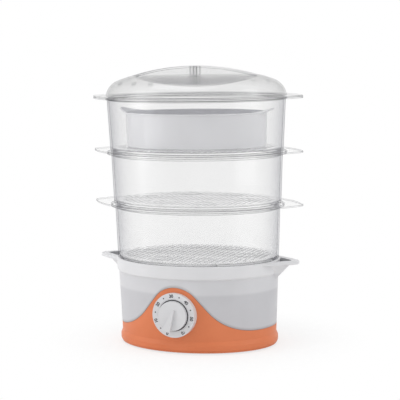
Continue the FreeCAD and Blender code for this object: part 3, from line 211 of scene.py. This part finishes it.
def facing_inward(tree, place):
    """1 on walls that look toward the upright middle line of the object, 0 on the others."""
    outward = add(tree, "ShaderNodeVectorMath", {0: place, 1: (1.0, 1.0, 0.0)}, operation="MULTIPLY")
    normal = add(tree, "ShaderNodeNewGeometry").outputs["Normal"]
    alike = add(tree, "ShaderNodeVectorMath", {0: normal, 1: outward}, operation="DOT_PRODUCT")
    return add(tree, "ShaderNodeMath", {0: alike, 1: INWARD_LEAN}, operation="LESS_THAN")


def rice_plastic():
    """Grey-white polypropylene: polished outside and left matt inside by the mould's core; the inside also
    takes painted shade.
    """
    material, tree = new_material("grey_white_moulded_polypropylene")
    place, tone, gloss, bump = moulded_skin(
        tree, "#e4e4e7", "#dfdfe2", roughness=0.12, grain=0.9, depth=0.004)
    inside = facing_inward(tree, place)
    # Painted shade: walls that face inward take a darker grey tint, as if in the bowl's own shade.
    tone = add(tree, "ShaderNodeMix", {"Factor": inside, "A": tone, "B": linear("#dadadd")}, **TINT)
    gloss = add(tree, "ShaderNodeMix", {"Factor": inside, "A": gloss, "B": CORE_ROUGHNESS})
    skin = add(tree, "ShaderNodeBsdfPrincipled", {
        "Base Color": tone, "Roughness": gloss, "Normal": bump, "IOR": 1.49})
    add(tree, "ShaderNodeOutputMaterial", {"Surface": skin})
    return material


dress(rice_plastic(), "rice_bowl")


# ---------------------------------------------------------------- the housing's translucent shell
dial_low, dial_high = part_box("dial_plate")
DIAL_HEIGHT = (dial_low.z + dial_high.z) / 2
SEAM_GAP = 0.5 * MM
SEAM_LOW = 30 * MM
SEAM_SLOPE = math.radians(50)
SEAM_STEPS = 40
CREST_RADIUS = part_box("lower_skirt")[1].z + SEAM_GAP - DIAL_HEIGHT
FOOT_RADIUS = 80 * MM
SEAM_TOP = DIAL_HEIGHT + CREST_RADIUS
SEAM_ARCS = CREST_RADIUS + FOOT_RADIUS
SEAM_FLANK = (SEAM_TOP - SEAM_LOW - SEAM_ARCS * (1 - math.cos(SEAM_SLOPE))) / math.sin(SEAM_SLOPE)
SEAM_HALF = SEAM_ARCS * math.sin(SEAM_SLOPE) + SEAM_FLANK * math.cos(SEAM_SLOPE)
# Height of the band of painted shade just over the seam.
SEAM_SHADE_HEIGHT = 5 * MM
TANK_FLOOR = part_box("heater_gasket")[0].z
FLOOR_BLUR = -3 * MM, 2.5 * MM
RIM_FOOT = 106 * MM
RIM_BLUR = -2 * MM, 2 * MM
EAR_GAP = 1.6 * MM
EAR_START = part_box("lower_skirt")[1].x + EAR_GAP


def seam_height(across):
    """Height of the front seam at a distance from its middle: an arc, a straight flank and a closing arc."""
    if across < CREST_RADIUS * math.sin(SEAM_SLOPE):
        return DIAL_HEIGHT + math.sqrt(CREST_RADIUS ** 2 - across ** 2)
    from_end = SEAM_HALF - across
    if from_end < FOOT_RADIUS * math.sin(SEAM_SLOPE):
        return SEAM_LOW + FOOT_RADIUS - math.sqrt(FOOT_RADIUS ** 2 - from_end ** 2)
    past_crest = across - CREST_RADIUS * math.sin(SEAM_SLOPE)
    return DIAL_HEIGHT + CREST_RADIUS * math.cos(SEAM_SLOPE) - past_crest * math.tan(SEAM_SLOPE)


def height_over_seam(tree, x, y, z):
    """How far a point of the shell lies over the seam, which is a wave in front and level at the back."""
    beside = add(tree, "ShaderNodeMath", {0: x}, operation="ABSOLUTE")
    share = add(tree, "ShaderNodeMath", {0: beside, 1: SEAM_HALF}, operation="DIVIDE")
    wave = add(tree, "ShaderNodeFloatCurve", {"Value": share})
    wave.mapping.extend = "HORIZONTAL"
    points = wave.mapping.curves[0].points
    shares = [step / SEAM_STEPS for step in range(SEAM_STEPS + 1)]
    for place in shares[1:-1]:
        points.new(place, place)
    for point, place in zip(points, shares):
        point.location = place, seam_height(place * SEAM_HALF) / SEAM_TOP
        point.handle_type = "VECTOR"
    wave.mapping.update()
    height = add(tree, "ShaderNodeMath", {0: wave, 1: SEAM_TOP}, operation="MULTIPLY")
    in_front = add(tree, "ShaderNodeMath", {0: y, 1: 0.0}, operation="LESS_THAN")
    seam = add(tree, "ShaderNodeMix", {"Factor": in_front, "A": SEAM_LOW, "B": height})
    return add(tree, "ShaderNodeMath", {0: z, 1: seam}, operation="SUBTRACT")


def housing_plastic():
    """Pale polypropylene, moulded thin, so that some light gets in.

    The shell's light and shade are painted: a tone darker under the rim band, darker again where it's empty
    under the tank's floor, and darkest just over the seam, where the tongue stands behind it.
    The pockets in its ears get painted shade, so that they look deep.
    """
    material, tree = new_material("pale_moulded_polypropylene")
    place, tone, gloss, bump = moulded_skin(
        tree, "#dedee0", "#d9d9db", roughness=0.38, grain=0.9, depth=0.015)
    axes = add(tree, "ShaderNodeSeparateXYZ", {"Vector": place}).outputs
    over_seam = height_over_seam(tree, axes["X"], axes["Y"], axes["Z"])
    # Painted shade: darker bands under the rim band, under the tank's floor and just over the seam.
    for tint, height, edge, (under, over) in (("#f1f1f2", axes["Z"], RIM_FOOT, RIM_BLUR),
                                              ("#f0f0f1", axes["Z"], TANK_FLOOR, FLOOR_BLUR),
                                              ("#dcdad8", over_seam, 0.0, (0.0, SEAM_SHADE_HEIGHT))):
        below = add(tree, "ShaderNodeMapRange", {
            "Value": height, "From Min": edge + under, "From Max": edge + over, "To Min": 1.0, "To Max": 0.0},
            **SMOOTH)
        tone = add(tree, "ShaderNodeMix", {"Factor": below, "A": tone, "B": linear(tint)}, **TINT)
    # Painted shade in the pockets of the ears: inward walls past the ear's start take a darker tint.
    beside = add(tree, "ShaderNodeMath", {0: axes["X"]}, operation="ABSOLUTE")
    in_ear = add(tree, "ShaderNodeMath", {0: beside, 1: EAR_START}, operation="GREATER_THAN")
    pocket_shade = add(tree, "ShaderNodeMath", {0: in_ear, 1: facing_inward(tree, place)}, operation="MULTIPLY")
    tone = add(tree, "ShaderNodeMix", {"Factor": pocket_shade, "A": tone, "B": linear("#b8b8ba")}, **TINT)
    skin = add(tree, "ShaderNodeBsdfPrincipled", {
        "Base Color": tone, "Roughness": gloss, "Normal": bump, "IOR": 1.49, "Specular IOR Level": 0.3})
    add(tree, "ShaderNodeOutputMaterial", {"Surface": skin})
    return material


dress(housing_plastic(), "upper_housing")


# ---------------------------------------------------------------- clear plastics
EDGE_WIDTH = 1.0 * MM
EDGE_ALIKE = 0.92, 0.99
LEVEL_RISE = 0.97, 0.995
SLOPE_TURN = 0.25, 0.85
SIDE_TURN = 0.78, 0.95
FLOW_LINE = 40 * MM
FACE_MIRROR = 0.035
MIRROR_ROUGHNESS = 0.2


def edge_lines(tree, normal):
    """1 on a sharp edge and 0 beside it: a rounded normal differs from the true one only there."""
    rounded = add(tree, "ShaderNodeBevel", {"Radius": EDGE_WIDTH}, samples=8)
    alike = add(tree, "ShaderNodeVectorMath", {0: normal, 1: rounded}, operation="DOT_PRODUCT")
    return add(tree, "ShaderNodeMapRange", {
        "Value": alike, "From Min": EDGE_ALIKE[0], "From Max": EDGE_ALIKE[1], "To Min": 1.0, "To Max": 0.0},
        **SMOOTH)


def clear_plastic(name, face, slope, side, edge, milkiness, shine):
    """Clear SAN from a polished mould.

    It has almost no colour face on, and a thin grey line where a wall turns away or ends in an edge.
    A level face keeps the colour it has face on, so that flanges and grates stay clear from the side too.
    """
    material, tree = new_material(name)
    place = add(tree, "ShaderNodeTexCoord").outputs["Object"]
    normal = add(tree, "ShaderNodeNewGeometry").outputs["Normal"]
    facing = add(tree, "ShaderNodeLayerWeight", {"Blend": 0.5}).outputs["Facing"]
    rise = add(tree, "ShaderNodeSeparateXYZ", {"Vector": normal}).outputs["Z"]
    steep = add(tree, "ShaderNodeMath", {0: rise}, operation="ABSOLUTE")
    upright = add(tree, "ShaderNodeMapRange", {
        "Value": steep, "From Min": LEVEL_RISE[0], "From Max": LEVEL_RISE[1], "To Min": 1.0, "To Max": 0.0},
        **SMOOTH)
    tint = linear(face)
    for colour, (start, end) in ((slope, SLOPE_TURN), (side, SIDE_TURN)):
        turned = add(tree, "ShaderNodeMapRange", {
            "Value": facing, "From Min": start, "From Max": end}, **SMOOTH)
        amount = add(tree, "ShaderNodeMath", {0: turned, 1: upright}, operation="MULTIPLY")
        tint = add(tree, "ShaderNodeMix", {"Factor": amount, "A": tint, "B": linear(colour)}, **TINT)
    edges = edge_lines(tree, normal)
    tint = add(tree, "ShaderNodeMix", {"Factor": edges, "A": tint, "B": linear(edge)}, **TINT)
    through = add(tree, "ShaderNodeBsdfTransparent", {"Color": tint})
    flow = add(tree, "ShaderNodeTexNoise", {"Vector": place, "Scale": 1 / FLOW_LINE, "Detail": 2.0})
    haze = add(tree, "ShaderNodeValToRGB", {"Fac": flow}, stops=((0.3, "#e2e3e4"), (0.7, "#eeefef")))
    milk = add(tree, "ShaderNodeBsdfDiffuse", {"Color": haze})
    body = add(tree, "ShaderNodeMixShader", {0: milkiness, 1: through, 2: milk})
    grazing = add(tree, "ShaderNodeMath", {0: facing, 1: 5.0}, operation="POWER")
    mirror = add(tree, "ShaderNodeMath", {0: grazing, 1: shine, 2: FACE_MIRROR}, operation="MULTIPLY_ADD")
    gloss = add(tree, "ShaderNodeBsdfGlossy", {"Roughness": MIRROR_ROUGHNESS, "Color": linear("#ffffff")})
    whole = add(tree, "ShaderNodeMixShader", {0: mirror, 1: body, 2: gloss})
    add(tree, "ShaderNodeOutputMaterial", {"Surface": whole})
    return material


# The bowls, clear SAN from a polished mould: grey only where their walls turn away or end.
dress(clear_plastic("clear_moulded_san",
                    face="#fcfcfc", slope="#f3f3f4", side="#dcdcde", edge="#7c7d81",
                    milkiness=0.02, shine=0.15), "bowl_1", "bowl_2", "bowl_3")

# The lid, the same SAN moulded thicker: a touch greyer face on, with a stronger sheen on its dome.
dress(clear_plastic("thick_clear_moulded_san",
                    face="#fafafa", slope="#f7f7f7", side="#dededf", edge="#8c8d91",
                    milkiness=0.02, shine=0.5), "lid")

# The grates, slotted plates of it: the slots' walls draw grey lines, and a low look meets a bright sheen.
dress(clear_plastic("slotted_clear_moulded_san",
                    face="#fefefe", slope="#e0e0e2", side="#d8d8da", edge="#fdfdfd",
                    milkiness=0.03, shine=1.5), "grate_1", "grate_2", "grate_3")


# ---------------------------------------------------------------- metals
MOTTLE_GLOSS = -0.06, 0.08


def metal(name, colour, darker, roughness, crystal):
    """Bare metal: its crystals, drawn coarser than real ones so that they show, mottle its tone and gloss."""
    material, tree = new_material(name)
    place = add(tree, "ShaderNodeTexCoord").outputs["Object"]
    mottle = add(tree, "ShaderNodeTexNoise", {"Vector": place, "Scale": 1 / (crystal * MM), "Detail": 3.0})
    tone = add(tree, "ShaderNodeValToRGB", {"Fac": mottle}, stops=((0.3, darker), (0.7, colour)))
    gloss = add(tree, "ShaderNodeMapRange", {
        "Value": mottle, "To Min": roughness + MOTTLE_GLOSS[0], "To Max": roughness + MOTTLE_GLOSS[1]})
    skin = add(tree, "ShaderNodeBsdfPrincipled", {"Base Color": tone, "Metallic": 1.0, "Roughness": gloss})
    add(tree, "ShaderNodeOutputMaterial", {"Surface": skin})
    return material


# Zinc plated steel: a bright, slightly cloudy silver.
dress(metal("zinc_plated_steel", "#b9babc", "#a5a6a8", roughness=0.32, crystal=0.4),
      "cover_screws", "heater_screws", "timer_screws", "clamp_screws", "heater_clamp_ring",
      "thermostat_clip", "timer_shaft", "knob_spring_clip", "timer_bell", "thermal_fuse")

# Cast aluminium: a coarse, soft grey.
dress(metal("cast_aluminium", "#c3c4c6", "#b2b3b5", roughness=0.4, crystal=1.2), "heater_plate")

# Steel sheath, annealed after drawing: browner and duller than plated steel.
dress(metal("annealed_steel_sheath", "#8c8a86", "#75736f", roughness=0.45, crystal=0.8), "heating_element")


# ---------------------------------------------------------------- the dial's printed scale
DIAL_CENTRE = Vector((0, dial_low.y, DIAL_HEIGHT))
PRINT_PROUD = 0.04 * MM
FIRST_ANGLE = math.radians(200)
MINUTES = 60
KNOB_TURN = next(joint for joint in frame["joints"] if joint["name"] == "timer_knob_turn")
MINUTE = math.radians(KNOB_TURN["range_deg"][1]) / MINUTES
NUMBER_EVERY = 10
NUMBER_RADIUS = 27.2 * MM
NUMBER_SIZE = 6.2 * MM
NUMBER_BOLD = 0.26 * MM
DOT_RADIUS = 1.0 * MM
DOT_SIDES = 20
RING_INNER = 20.9 * MM
RING_OUTER = 22.4 * MM
RING_STEPS = 96
TICK_START = 22.8 * MM
TICK_END = 23.8 * MM
TICK_WIDTH = 0.22 * MM


def on_dial(minute, radius):
    """Where a minute of the scale lies: turned round the dial, facing the front."""
    turn = Matrix.Rotation(FIRST_ANGLE + minute * MINUTE, 4, "Y")
    front = Matrix.Translation(DIAL_CENTRE + Vector((0, -PRINT_PROUD, 0)))
    return front @ turn @ Matrix.Translation((0, 0, radius)) @ Matrix.Rotation(math.radians(90), 4, "X")


def add_face(form, corners):
    """One printed patch between its corners."""
    form.faces.new([form.verts.new(corner) for corner in corners])


def add_number(form, minute):
    """A plain number of minutes, centred on its place."""
    words = bpy.data.curves.new("scale_number", "FONT")
    words.body = str(minute)
    words.size = NUMBER_SIZE
    words.offset = NUMBER_BOLD
    words.align_x = "CENTER"
    words.align_y = "CENTER"
    holder = bpy.data.objects.new("scale_number", words)
    scene.collection.objects.link(holder)
    bpy.context.view_layer.update()
    mesh = bpy.data.meshes.new_from_object(holder)
    bpy.data.objects.remove(holder)
    mesh.transform(on_dial(minute, NUMBER_RADIUS))
    form.from_mesh(mesh)
    bpy.data.meshes.remove(mesh)


def add_dot(form, minute):
    """A round dot halfway between two numbers."""
    bmesh.ops.create_circle(form, cap_ends=True, segments=DOT_SIDES, radius=DOT_RADIUS,
                            matrix=on_dial(minute, NUMBER_RADIUS))


def add_tick(form, minute):
    """A short radial line."""
    middle = on_dial(minute, (TICK_START + TICK_END) / 2)
    half_width, half_length = TICK_WIDTH / 2, (TICK_END - TICK_START) / 2
    add_face(form, [middle @ Vector((x * half_width, y * half_length, 0))
                    for x, y in ((-1, -1), (1, -1), (1, 1), (-1, 1))])


def add_ring(form):
    """The full ring round the knob, in short straight steps."""
    step_minutes = 2 * math.pi / MINUTE / RING_STEPS
    for step in range(RING_STEPS):
        start, end = step * step_minutes, (step + 1) * step_minutes
        add_face(form, [on_dial(minute, radius).translation for minute, radius in (
            (start, RING_INNER), (start, RING_OUTER), (end, RING_OUTER), (end, RING_INNER))])


def make_dial_print():
    """Numbers, dots, minute ticks and a ring, as one print on the dial plate."""
    form = bmesh.new()
    for minute in range(0, MINUTES + 1, NUMBER_EVERY):
        add_number(form, minute)
    for minute in range(NUMBER_EVERY // 2, MINUTES, NUMBER_EVERY):
        add_dot(form, minute)
    for minute in range(MINUTES + 1):
        add_tick(form, minute)
    add_ring(form)
    mesh = bpy.data.meshes.new("dial_scale_print")
    form.to_mesh(mesh)
    form.free()
    # Dark pad-printing ink: a thin, matt film.
    ink = moulded_plastic("dark_pad_printed_ink", "#3b3b40", "#333338", roughness=0.6, grain=0.3, depth=0.002)
    mesh.materials.clear()
    mesh.materials.append(ink)
    piece = bpy.data.objects.new("dial_scale_print", mesh)
    scene.collection.objects.link(piece)
    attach(piece, "base")


make_dial_print()


# ---------------------------------------------------------------- studio
FLOOR_HALF = 6.0
PAPER_FIBRE = 2.5 * MM
SHADOW_START = 0.13
SHADOW_END = 0.26
SHADOW_FADED = 0.7
OVERHEAD_RISE = 0.35, 0.9
OVERHEAD_WHITE = 0.7
AHEAD_TURN = 0.1, 0.6
LAMPS_AIM = Vector((0, 0, 0.2))


def white_paper():
    """White paper: a matt sheet whose fibres are drawn coarser than real ones.

    To the camera it glows white, less so round the object, where it keeps the shadow.
    """
    material, tree = new_material("white_paper_sweep")
    place = add(tree, "ShaderNodeTexCoord").outputs["Object"]
    fibre = add(tree, "ShaderNodeTexNoise", {"Vector": place, "Scale": 1 / PAPER_FIBRE})
    tone = add(tree, "ShaderNodeValToRGB", {"Fac": fibre}, stops=((0.3, "#f4f4f4"), (0.7, "#f8f8f8")))
    paper = add(tree, "ShaderNodeBsdfDiffuse", {"Color": tone})
    glow = add(tree, "ShaderNodeEmission", {"Color": linear("#ffffff"), "Strength": 1.0})
    distance = add(tree, "ShaderNodeVectorMath", {0: place}, operation="LENGTH")
    white = add(tree, "ShaderNodeMapRange", {
        "Value": distance, "From Min": SHADOW_START, "From Max": SHADOW_END,
        "To Min": SHADOW_FADED, "To Max": 1.0}, **SMOOTH)
    seen = add(tree, "ShaderNodeLightPath").outputs["Is Camera Ray"]
    amount = add(tree, "ShaderNodeMath", {0: seen, 1: white}, operation="MULTIPLY")
    whole = add(tree, "ShaderNodeMixShader", {0: amount, 1: paper, 2: glow})
    add(tree, "ShaderNodeOutputMaterial", {"Surface": whole})
    return material


def make_floor():
    """A wide sheet under the object."""
    mesh = bpy.data.meshes.new("studio_floor")
    form = bmesh.new()
    bmesh.ops.create_grid(form, x_segments=1, y_segments=1, size=FLOOR_HALF)
    form.to_mesh(mesh)
    form.free()
    mesh.materials.append(white_paper())
    floor = bpy.data.objects.new("studio_floor", mesh)
    scene.collection.objects.link(floor)


def make_world():
    """Pale studio: white where the camera sees it, also through clear plastic, and nearly white overhead.

    Glossy skins mirror white ahead of the camera, and the tones of walls elsewhere.
    """
    world = bpy.data.worlds.new("pale_studio")
    world.use_nodes = True
    tree = world.node_tree
    tree.nodes.clear()
    toward = add(tree, "ShaderNodeTexCoord").outputs["Generated"]
    side = add(tree, "ShaderNodeVectorMath", {0: toward, 1: LEFT_OF_CAMERA}, operation="DOT_PRODUCT")
    round_about = add(tree, "ShaderNodeMath", {0: side, 1: 0.5, 2: 0.5}, operation="MULTIPLY_ADD")
    walls = add(tree, "ShaderNodeValToRGB", {"Fac": round_about}, stops=(
        (0.0, "#cfcfcf"), (0.25, "#e8e8e8"), (0.36, "#acacac"),
        (0.52, "#989898"), (0.66, "#dcdcdc"), (1.0, "#d2d2d2")))
    rise = add(tree, "ShaderNodeSeparateXYZ", {"Vector": toward}).outputs["Z"]
    overhead = add(tree, "ShaderNodeMapRange", {
        "Value": rise, "From Min": OVERHEAD_RISE[0], "From Max": OVERHEAD_RISE[1], "To Max": OVERHEAD_WHITE},
        **SMOOTH)
    away = add(tree, "ShaderNodeVectorMath", {0: toward, 1: AWAY_FROM_CAMERA}, operation="DOT_PRODUCT")
    ahead = add(tree, "ShaderNodeMapRange", {
        "Value": away, "From Min": AHEAD_TURN[0], "From Max": AHEAD_TURN[1]}, **SMOOTH)
    path = add(tree, "ShaderNodeLightPath").outputs
    white = path["Is Camera Ray"]
    for other in (path["Is Transmission Ray"], overhead, ahead):
        white = add(tree, "ShaderNodeMath", {0: white, 1: other}, operation="MAXIMUM")
    colour = add(tree, "ShaderNodeMix", {
        "Factor": white, "A": walls, "B": linear("#ffffff")}, data_type="RGBA")
    sky = add(tree, "ShaderNodeBackground", {"Color": colour, "Strength": 1.0})
    add(tree, "ShaderNodeOutputWorld", {"Surface": sky})
    scene.world = world


def soft_box(name, place, size, power):
    """A rectangular lamp that aims at the object."""
    data = bpy.data.lights.new(name, "AREA")
    data.shape = "RECTANGLE"
    data.size, data.size_y = size
    data.energy = power
    lamp = bpy.data.objects.new(name, data)
    lamp.location = place
    lamp.rotation_euler = (LAMPS_AIM - Vector(place)).to_track_quat("-Z", "Y").to_euler()
    scene.collection.objects.link(lamp)


make_floor()
make_world()
soft_box("left_soft_box", place=(-1.4, -1.0, 0.8), size=(1.0, 1.6), power=8)
soft_box("right_soft_box", place=(1.5, -0.1, 0.9), size=(0.5, 1.6), power=5)
soft_box("top_soft_box", place=(-0.3, -0.5, 1.8), size=(1.4, 1.0), power=5)
